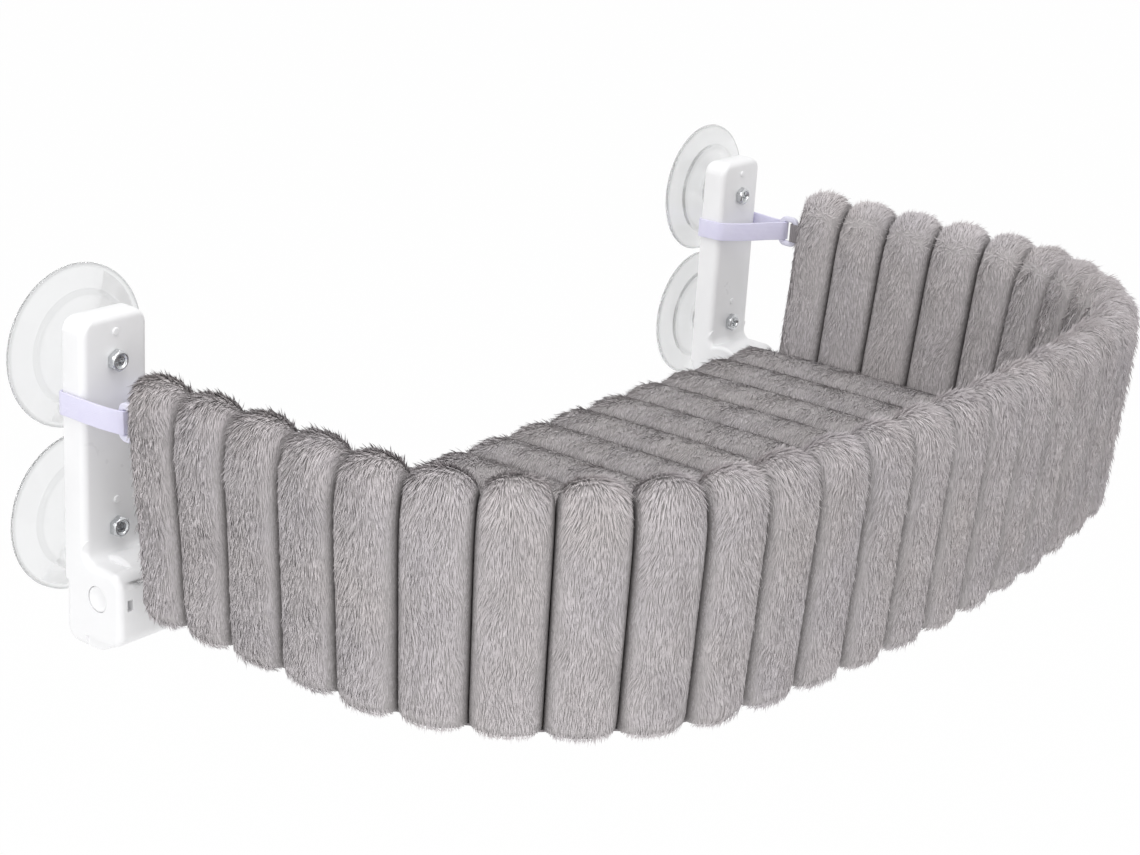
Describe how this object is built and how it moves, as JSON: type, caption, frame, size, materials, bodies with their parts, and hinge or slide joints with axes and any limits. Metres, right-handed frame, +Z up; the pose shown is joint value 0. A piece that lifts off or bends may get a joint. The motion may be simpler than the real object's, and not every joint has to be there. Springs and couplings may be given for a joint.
{
  "type": "cat window perch",
  "caption": "Window perch for a cat: a channel-quilted plush bed with a raised wall on a bent steel tube frame, hinged to plastic brackets that hang on suction cups.",
  "frame": {"origin": "on the glass, midway between the four suction cups", "axes": "+X from the left bracket to the right one, seen from the room; +Y into the glass; +Z up. The room and the bed are on the -Y side."},
  "size_m": [0.625, 0.3746, 0.1908],
  "materials": {
    "plush": "short rabbit-like plush over foam",
    "base_cloth": "plain woven polyester",
    "webbing": "smooth ribbon webbing",
    "nylon": "moulded nylon",
    "white_abs": "glossy moulded ABS",
    "clear_pvc": "clear soft PVC",
    "zinc_steel": "bright zinc plated",
    "painted_tube": "satin powder coat",
    "board": "hardboard"
  },
  "bodies": {
    "mount": {"left_upper_suction_cup": "clear_pvc", "left_upper_cup_insert": "zinc_steel", "left_upper_cup_washer": "zinc_steel", "left_upper_cup_screw": "zinc_steel", "left_lower_suction_cup": "clear_pvc", "left_lower_cup_insert": "zinc_steel", "left_lower_cup_washer": "zinc_steel", "left_lower_cup_screw": "zinc_steel", "left_bracket": "white_abs", "left_pivot_screw": "zinc_steel", "left_pivot_cap": "white_abs", "left_strap": "webbing", "left_strap_ring": "nylon", "left_wall_tab": "base_cloth", "right_upper_suction_cup": "clear_pvc", "right_upper_cup_insert": "zinc_steel", "right_upper_cup_washer": "zinc_steel", "right_upper_cup_screw": "zinc_steel", "right_lower_suction_cup": "clear_pvc", "right_lower_cup_insert": "zinc_steel", "right_lower_cup_washer": "zinc_steel", "right_lower_cup_screw": "zinc_steel", "right_bracket": "white_abs", "right_pivot_screw": "zinc_steel", "right_pivot_cap": "white_abs", "right_strap": "webbing", "right_strap_ring": "nylon", "right_wall_tab": "base_cloth"},
    "bed": {"left_pivot_sleeve": "nylon", "left_tube_plug": "white_abs", "right_pivot_sleeve": "nylon", "right_tube_plug": "white_abs", "base_cover": "base_cloth", "base_board": "board", "left_wall_end": "plush", "left_wall_corner": "plush", "front_wall": "plush", "right_wall_corner": "plush", "right_wall_end": "plush", "seat_pad": "plush", "left_frame_tube": "painted_tube", "right_frame_tube": "painted_tube", "frame_spigot": "zinc_steel", "rear_rail": "painted_tube", "left_frame_tunnel": "base_cloth", "right_frame_tunnel": "base_cloth", "zip_tape": "base_cloth", "zip_slider": "painted_tube"}
  },
  "joints": [
    {"name": "bed_tip", "type": "hinge", "parent": "mount", "child": "bed", "pos_m": [0, -0.04, -0.0755], "axis": [-1, 0, 0], "range_deg": [0, 40], "deforming": ["left_wall_end", "right_wall_end"]}
  ]
}
